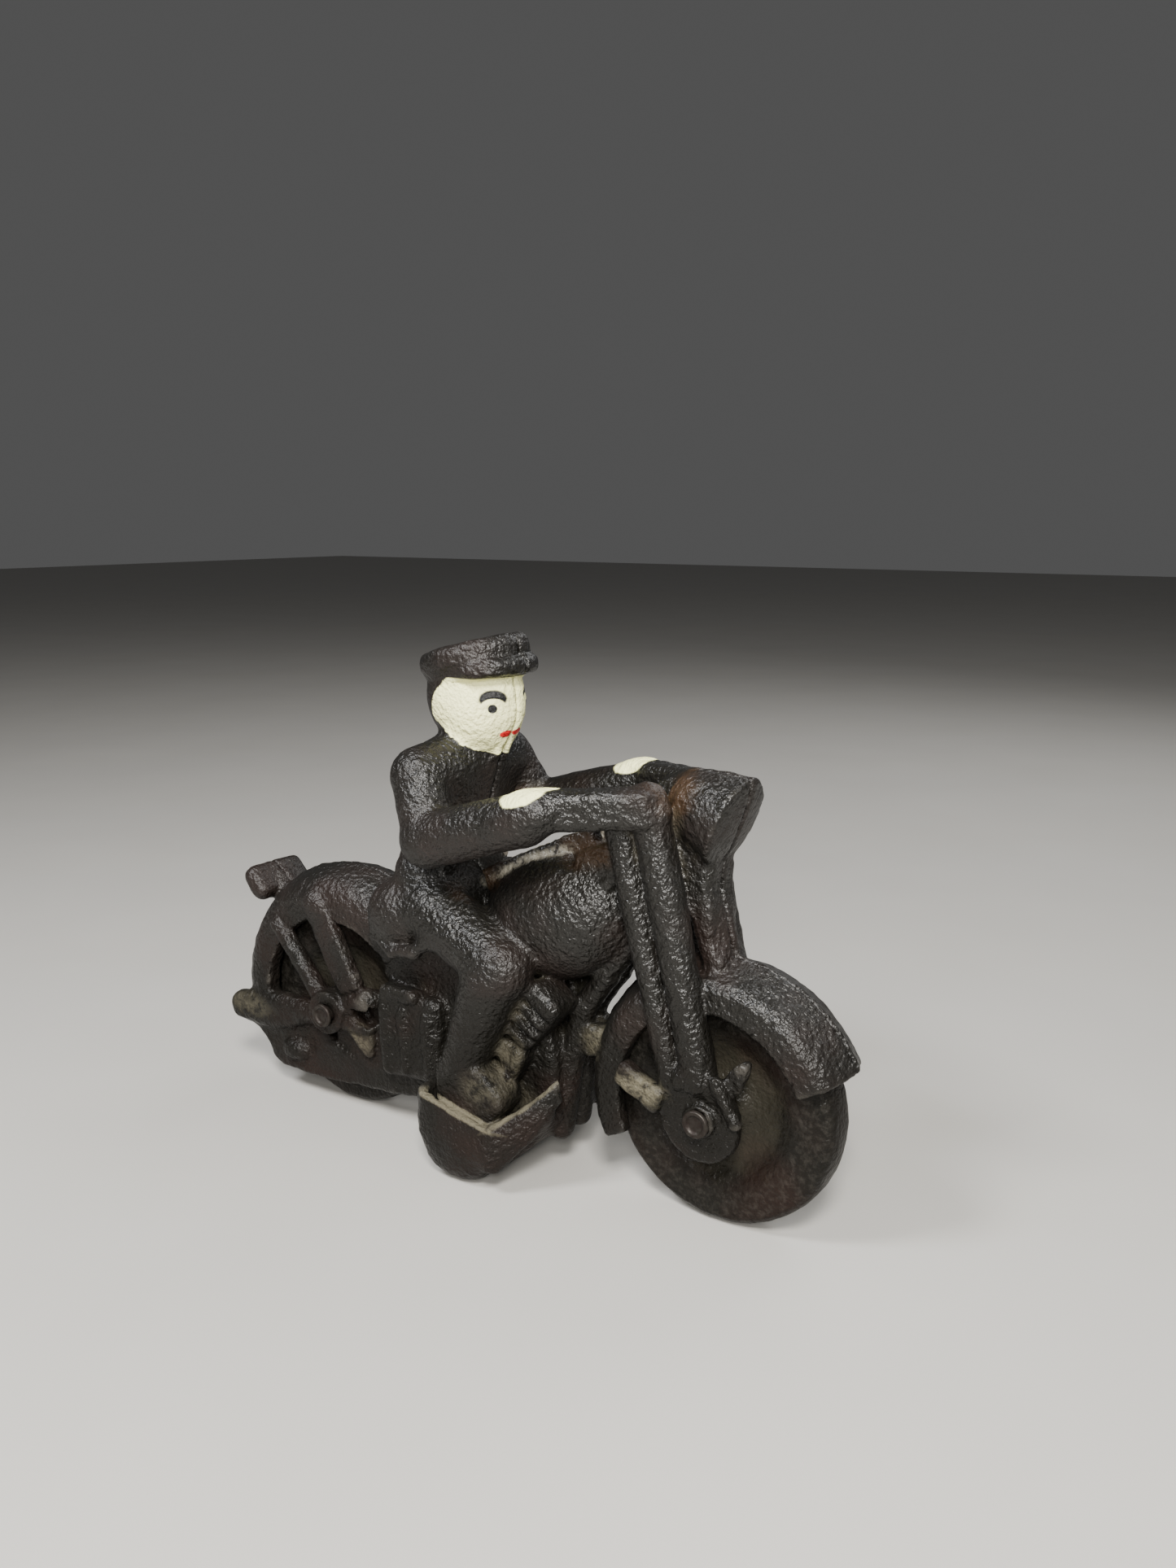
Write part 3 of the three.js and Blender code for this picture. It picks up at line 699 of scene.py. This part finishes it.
class Nodes:
    """Short hand for building a node tree."""

    def __init__(self, name):
        self.material = bpy.data.materials.new(name)
        self.material.use_nodes = True
        self.tree = self.material.node_tree
        self.tree.nodes.clear()
        self.out = self.node("ShaderNodeOutputMaterial")
        self.shader = self.node("ShaderNodeBsdfPrincipled")
        self.link(self.shader.outputs[0], self.out.inputs["Surface"])
        self.shader.inputs["Specular IOR Level"].default_value = 0.3
        self.place = self.node("ShaderNodeTexCoord").outputs["Object"]

    def node(self, kind, **settings):
        made = self.tree.nodes.new(kind)
        for key, value in settings.items():
            setattr(made, key, value)
        return made

    def link(self, source, target):
        self.tree.links.new(source, target)

    def put(self, value, target):
        if isinstance(value, bpy.types.NodeSocket):
            self.link(value, target)
        else:
            target.default_value = value

    def noise(self, size_mm, detail=3.0, roughness=0.55):
        n = self.node("ShaderNodeTexNoise")
        self.link(self.place, n.inputs["Vector"])
        n.inputs["Scale"].default_value = 1000 / size_mm
        n.inputs["Detail"].default_value = detail
        n.inputs["Roughness"].default_value = roughness
        return n.outputs["Fac"]

    def math(self, operation, a, b=0.0, clamp=False):
        n = self.node("ShaderNodeMath", operation=operation, use_clamp=clamp)
        self.put(a, n.inputs[0])
        self.put(b, n.inputs[1])
        return n.outputs[0]

    def ramp(self, value, low, high):
        """0 at low, 1 at high, smooth between; low may be above high."""
        n = self.node("ShaderNodeMapRange", interpolation_type="SMOOTHSTEP")
        self.put(value, n.inputs["Value"])
        n.inputs["From Min"].default_value = low
        n.inputs["From Max"].default_value = high
        return n.outputs["Result"]

    def mix(self, share, a, b):
        n = self.node("ShaderNodeMix", data_type="RGBA")
        self.put(share, n.inputs[0])
        self.put(a, n.inputs[6])
        self.put(b, n.inputs[7])
        return n.outputs[2]

    def attribute(self, name):
        return self.node("ShaderNodeAttribute", attribute_name=name).outputs["Fac"]

    def place_in_mm(self):
        scaled = self.node("ShaderNodeVectorMath", operation="SCALE")
        self.link(self.place, scaled.inputs[0])
        scaled.inputs["Scale"].default_value = 1000
        return scaled.outputs[0]

    def mirrored_place(self):
        """Object coordinates in millimetres, with the distance from the seam in place of Y."""
        split = self.node("ShaderNodeSeparateXYZ")
        self.link(self.place_in_mm(), split.inputs[0])
        joined = self.node("ShaderNodeCombineXYZ")
        self.link(split.outputs[0], joined.inputs[0])
        self.link(self.math("ABSOLUTE", split.outputs[1]), joined.inputs[1])
        self.link(split.outputs[2], joined.inputs[2])
        return joined.outputs[0]

    def turned_place(self, place, axis, degrees, centre):
        """Coordinates from a centre, turned about an axis."""
        moved = self.node("ShaderNodeVectorMath", operation="SUBTRACT")
        self.link(place, moved.inputs[0])
        moved.inputs[1].default_value = centre
        n = self.node("ShaderNodeVectorRotate", rotation_type=axis + "_AXIS")
        self.link(moved.outputs[0], n.inputs["Vector"])
        n.inputs["Angle"].default_value = math.radians(degrees)
        return n.outputs[0]

    def near_egg(self, place, centre, half, soft=0.12, ragged=None, amount=0.0):
        """1 inside an ellipsoid of the object, 0 outside it, with a ragged edge if asked."""
        moved = self.node("ShaderNodeVectorMath", operation="SUBTRACT")
        self.link(place, moved.inputs[0])
        moved.inputs[1].default_value = centre
        sized = self.node("ShaderNodeVectorMath", operation="DIVIDE")
        self.link(moved.outputs[0], sized.inputs[0])
        sized.inputs[1].default_value = half
        length = self.node("ShaderNodeVectorMath", operation="LENGTH")
        self.link(sized.outputs[0], length.inputs[0])
        value = length.outputs["Value"]
        if ragged is not None:
            shift = self.math("MULTIPLY", self.math("SUBTRACT", ragged, 0.5), amount)
            value = self.math("ADD", value, shift)
        return self.ramp(value, 1 + soft, 1 - soft)

    def bump(self, height, strength, distance_mm):
        n = self.node("ShaderNodeBump")
        n.inputs["Strength"].default_value = strength
        n.inputs["Distance"].default_value = distance_mm / 1000
        self.link(height, n.inputs["Height"])
        self.link(n.outputs[0], self.shader.inputs["Normal"])


BLACK = (0.0055, 0.005, 0.0041, 1)
BROWN_BLACK = (0.010, 0.0062, 0.0048, 1)
DUST = (0.19, 0.17, 0.115, 1)
RUST = (0.15, 0.07, 0.022, 1)
IRON = (0.075, 0.068, 0.058, 1)
PALE_IRON = (0.36, 0.33, 0.26, 1)
CREAM = (0.72, 0.71, 0.37, 1)
RED = (0.55, 0.01, 0.012, 1)
INK = (0.004, 0.004, 0.004, 1)

# Marks on the castings, mirrored about the seam: centre and half sizes in millimetres
RUSTY_JOINTS = (
    ((46, 4, 89), (6, 7, 4.5)),
    ((27, 9, 76), (8, 6, 3.5)),
    ((-1, 10, 66), (5, 6, 4)),
    ((-6, 14, 76), (6, 6, 5)),
)
# Pale dust on the boot, the mudguard stay, the frame web, the wedge lug, the chain triangle,
# the fishtail and the coat by the elbow, with the share of dust at the middle
DUSTY_PLACES = (
    ((8.6, 18, 22.4), (6, 5, 4.4), 0.14),
    ((43.4, 13, 29), (6.5, 2.6, 3.2), 0.4),
    ((29, 5, 32.6), (4.5, 3.6, 4), 0.26),
    ((12.6, 14.6, 28), (4, 1.8, 6), 0.2),
    ((-37, 10.8, 20), (5, 1.6, 4.4), 0.2),
    ((-74, 10, 21), (8, 3, 3), 0.18),
    ((-1, 12, 78), (5, 8, 5), 0.12),
)


def iron_skin(m, dust_amount=1.0):
    """Black paint over rough iron: base colour, roughness and height of the bare painted skin."""
    broad = m.noise(22, 2)
    patchy = m.noise(6, 3)
    fine = m.noise(1.3, 2)
    grain = m.noise(0.5, 2)
    colour = m.mix(m.ramp(broad, 0.45, 0.7), BLACK, BROWN_BLACK)
    # Dust lies in hollows
    hollow = m.ramp(m.attribute("wide"), 0.5, 0.78)
    dust = m.math("MULTIPLY", hollow, m.ramp(patchy, 0.36, 0.62))
    dust = m.math("MULTIPLY", dust, dust_amount * 0.2)
    colour = m.mix(dust, colour, DUST)
    # Paint is rubbed thin on the proud edges
    proud = m.ramp(m.attribute("near"), 0.34, 0.16)
    worn = m.math("MULTIPLY", proud, m.ramp(patchy, 0.42, 0.6))
    colour = m.mix(m.math("MULTIPLY", worn, 0.35), colour, IRON)
    rough = m.math("ADD", 0.27, m.math("MULTIPLY", m.ramp(broad, 0.35, 0.65), 0.14))
    rough = m.math("ADD", rough, m.math("MULTIPLY", fine, 0.14))
    rough = m.math("ADD", rough, m.math("MULTIPLY", dust, 0.6), clamp=True)
    pebble = m.ramp(m.noise(1.15, 2, 0.5), 0.24, 0.76)
    height = m.math("ADD", m.math("MULTIPLY", pebble, 0.75), m.math("MULTIPLY", grain, 0.25))
    return colour, rough, height


def eye_marks(m, place, yaw, centre, size):
    """1 on the painted brow and eye of one cheek."""
    cheek = m.turned_place(place, "Z", yaw, centre)
    brow = m.near_egg(cheek, (0, 0, -0.6 * size), (3.1 * size, 9, 1.9 * size), 0.1)
    under = m.near_egg(cheek, (0, 0, -1.9 * size), (2.6 * size, 9, 1.35 * size), 0.1)
    brow = m.math("MULTIPLY", brow, m.math("SUBTRACT", 1.0, under))
    eye = m.near_egg(cheek, (-0.2, 0, -2.7), (1.05 * size, 9, 0.95 * size), 0.1)
    return m.math("MAXIMUM", brow, eye)


def casting_paint():
    m = Nodes("black_painted_casting")
    colour, rough, height = iron_skin(m)
    place = m.mirrored_place()
    ragged = m.noise(2.2, 4)
    flecks = m.noise(3.5, 4, 0.7)

    # Rust where parts of the casting meet
    for centre, half in RUSTY_JOINTS:
        spot = m.near_egg(place, centre, half, 0.5, flecks, 1.2)
        colour = m.mix(m.math("MULTIPLY", spot, 0.14), colour, RUST)

    # Paint rubbed pale along the rim of the tray
    side_rim = m.turned_place(place, "Y", -12.5, (2, 21.6, 16.8))
    front_rim = m.turned_place(place, "Z", 42, (17, 16.7, 19.8))
    front_rim = m.turned_place(front_rim, "Y", 34, (0, 0, 0))
    for rim, half in ((side_rim, (11.5, 3, 0.7)), (front_rim, (9.5, 3, 0.8))):
        spot = m.near_egg(rim, (0, 0, 0), half, 0.3, flecks, 1.1)
        colour = m.mix(m.math("MULTIPLY", spot, 0.36), colour, DUST)
        rough = m.math("ADD", rough, m.math("MULTIPLY", spot, 0.3), clamp=True)
    for centre, half, share in DUSTY_PLACES:
        spot = m.near_egg(place, centre, half, 0.4, flecks, 1.4)
        spot = m.math("MULTIPLY", spot, m.ramp(flecks, 0.34, 0.6))
        colour = m.mix(m.math("MULTIPLY", spot, share), colour, DUST)
        rough = m.math("ADD", rough, m.math("MULTIPLY", spot, 0.2), clamp=True)

    # Bare rough iron round the coin slot
    lip_place = m.turned_place(place, "Y", 24.5, (12.5, 0, 70.3))
    lips = m.near_egg(lip_place, (0, 0, 0), (19, 7.2, 3.6), 0.1, ragged, 0.5)
    colour = m.mix(m.math("MULTIPLY", lips, m.ramp(ragged, 0.3, 0.6)), colour, PALE_IRON)

    # Face and hands in cream, with brow, eye and mouth
    split = m.node("ShaderNodeSeparateXYZ")
    m.link(place, split.inputs[0])
    ahead_mm, height_mm = split.outputs[0], split.outputs[2]
    face = m.near_egg(place, (0, 0, 101.6), (13, 40, 9.6), 0.02, ragged, 0.14)
    face = m.math("MULTIPLY", face, m.ramp(height_mm, 109.6, 109.2))
    jaw = m.math("ADD", height_mm, m.math("MULTIPLY", ahead_mm, 0.6))
    jaw = m.math("ADD", jaw, m.math("MULTIPLY", ragged, 2.0))
    face = m.math("MULTIPLY", face, m.ramp(jaw, 93.0, 93.4))
    wrist = m.turned_place(place, "Y", 17, (22.6, 21, 88.8))
    hand = m.near_egg(wrist, (0, 0, 1.6), (5.4, 30, 2.9), 0.08, ragged, 0.3)
    cream = m.math("MAXIMUM", face, hand)
    colour = m.mix(cream, colour, CREAM)
    # The left brow and eye were painted smaller and nearer the seam
    signed = m.place_in_mm()
    for marks in (
        eye_marks(m, signed, -48, (2, -5.6, 105.5), 1.0),
        eye_marks(m, signed, 62, (3, 4.0, 105.9), 0.72),
    ):
        colour = m.mix(marks, colour, INK)
    mouth = m.near_egg(place, (2.4, 2.0, 97.0), (2.6, 1.7, 0.8), 0.1)
    colour = m.mix(mouth, colour, RED)
    # The paint reflects less low down: painted shade, darkening the lower parts as if they lay in shadow
    gloss_with_painted_shade_low = m.math("MULTIPLY", m.ramp(height_mm, 26, 60), 0.2)
    m.put(m.math("ADD", gloss_with_painted_shade_low, 0.14), m.shader.inputs["Specular IOR Level"])
    painted = m.math("MULTIPLY", cream, 0.16)
    m.put(colour, m.shader.inputs["Base Color"])
    m.put(m.math("ADD", rough, painted), m.shader.inputs["Roughness"])
    m.bump(height, 1.0, 0.4)
    return m.material


def wheel_paint():
    m = Nodes("black_painted_wheel")
    # The wheels reflect less than the castings: painted shade, darkening them as if they lay in shadow
    m.shader.inputs["Specular IOR Level"].default_value = 0.1
    colour, rough, height = iron_skin(m, 0.5)
    place = m.mirrored_place()
    for centre in (FRONT, REAR):
        side_middle = (centre[0], 4, centre[1])
        dish = m.near_egg(place, side_middle, (14.5, 5, 14.5), 0.2, m.noise(5, 4), 0.7)
        colour = m.mix(m.math("MULTIPLY", dish, 0.05), colour, DUST)
        # The raised band between the dish and the tread is a little worn to the iron
        outer = m.near_egg(place, side_middle, (25, 6, 25), 0.03, m.noise(2, 4), 0.1)
        inner = m.near_egg(place, side_middle, (17, 9, 17), 0.1, m.noise(4, 4), 0.3)
        band = m.math("SUBTRACT", outer, inner, clamp=True)
        band = m.math("MULTIPLY", band, m.ramp(m.noise(1.6, 4, 0.7), 0.42, 0.68))
        colour = m.mix(m.math("MULTIPLY", band, 0.14), colour, IRON)
    m.put(colour, m.shader.inputs["Base Color"])
    m.put(rough, m.shader.inputs["Roughness"])
    m.bump(height, 1.0, 0.25)
    return m.material


def old_steel(name, base):
    m = Nodes(name)
    tarnish = m.ramp(m.noise(1.6, 4), 0.35, 0.65)
    m.put(m.mix(tarnish, base, BROWN_BLACK), m.shader.inputs["Base Color"])
    m.put(m.math("ADD", 0.35, m.math("MULTIPLY", tarnish, 0.3)), m.shader.inputs["Roughness"])
    m.shader.inputs["Metallic"].default_value = 0.5
    m.bump(m.noise(0.5, 3), 0.5, 0.1)
    return m.material


paint = casting_paint()
wheel_black = wheel_paint()
pin_steel = old_steel("peened_pin_steel", (0.02, 0.017, 0.014, 1))
screw_steel = old_steel("screw_steel", (0.22, 0.20, 0.17, 1))

for ob, node, body, slot, material in (
    (right, "right_casting", "body", "black_painted_iron", paint),
    (left, "left_casting", "body", "black_painted_iron", paint),
    (front_wheel, "front_wheel", "front_wheel_body", "wheel_iron", wheel_black),
    (rear_wheel, "rear_wheel", "rear_wheel_body", "wheel_iron", wheel_black),
    (front_pin, "front_axle_pin", "body", "pin_steel", pin_steel),
    (rear_pin, "rear_axle_pin", "body", "pin_steel", pin_steel),
    (screws["body_screw"], "body_screw", "body", "pin_steel", screw_steel),
    (screws["crankcase_screw"], "crankcase_screw", "body", "pin_steel", screw_steel),
):
    ob.data.materials.append(material)
    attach(ob, body)
    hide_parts(node)


# ---- Stage, light and camera, in metres ----

FLOOR_Z = -0.0004  # just under the lowest point of the rough skin
AIMED_AT = (0, 0, 0.055)  # every light faces the middle of the toy
LIGHTS = (
    # name, place, size, watts, colour
    ("key", (0.28, -0.38, 0.48), (0.12, 0.12), 8.5, (1, 0.97, 0.92)),
    ("side", (-0.16, -0.34, 0.52), (0.14, 0.14), 5.0, (0.97, 0.98, 1)),
    ("low", (0.26, -0.38, 0.25), (0.10, 0.10), 2.6, (1, 0.98, 0.94)),
    ("front", (0.5, 0.05, 0.35), (0.3, 0.3), 0.8, (1, 1, 1)),
    ("back", (0.1, 0.55, 0.5), (0.5, 0.3), 2.2, (1, 1, 1)),
)
WORLD_GREY = (0.8, 0.8, 0.8, 1)
WORLD_STRENGTH = 0.11
LENS = 29.9  # millimetres
CAMERA_AT = (0.1732, -0.2232, 0.1441)
HEADING = 34.0  # degrees the view is turned from looking straight along +Y, towards -X
DOWN = 11.8  # degrees the view looks down


def floor():
    """Pale level floor under the object."""
    bpy.ops.mesh.primitive_plane_add(size=6, location=(0, 0, FLOOR_Z))
    made = bpy.context.object
    made.name = "floor"
    m = Nodes("pale_floor")
    pale = m.mix(m.noise(60, 2), (0.33, 0.32, 0.30, 1), (0.36, 0.35, 0.33, 1))
    m.put(pale, m.shader.inputs["Base Color"])
    m.shader.inputs["Roughness"].default_value = 0.6
    made.data.materials.append(m.material)
    return made


def soft_light(name, place, size, watts, colour):
    """Square or oblong area light facing the toy."""
    data = bpy.data.lights.new(name, "AREA")
    data.shape = "RECTANGLE"
    data.size, data.size_y = size
    data.energy = watts
    data.color = colour
    ob = bpy.data.objects.new(name, data)
    ob.location = place
    ob.rotation_mode = "QUATERNION"
    ob.rotation_quaternion = (Vector(AIMED_AT) - Vector(place)).to_track_quat("-Z", "Y")
    bpy.context.scene.collection.objects.link(ob)


def grey_world():
    world = bpy.data.worlds.new("studio")
    world.use_nodes = True
    background = world.node_tree.nodes["Background"]
    background.inputs["Color"].default_value = WORLD_GREY
    background.inputs["Strength"].default_value = WORLD_STRENGTH
    bpy.context.scene.world = world


def place_camera():
    camera = bpy.data.objects.new("camera", bpy.data.cameras.new("camera"))
    camera.data.lens = LENS
    camera.data.sensor_width = 36
    camera.data.clip_start = 0.01
    camera.location = CAMERA_AT
    turn = math.radians(HEADING)
    drop = math.radians(DOWN)
    level = math.cos(drop)
    ahead = Vector((-math.sin(turn) * level, math.cos(turn) * level, -math.sin(drop)))
    camera.rotation_mode = "QUATERNION"
    camera.rotation_quaternion = ahead.to_track_quat("-Z", "Y")
    bpy.context.scene.collection.objects.link(camera)
    bpy.context.scene.camera = camera


floor()
for light in LIGHTS:
    soft_light(*light)
grey_world()
place_camera()
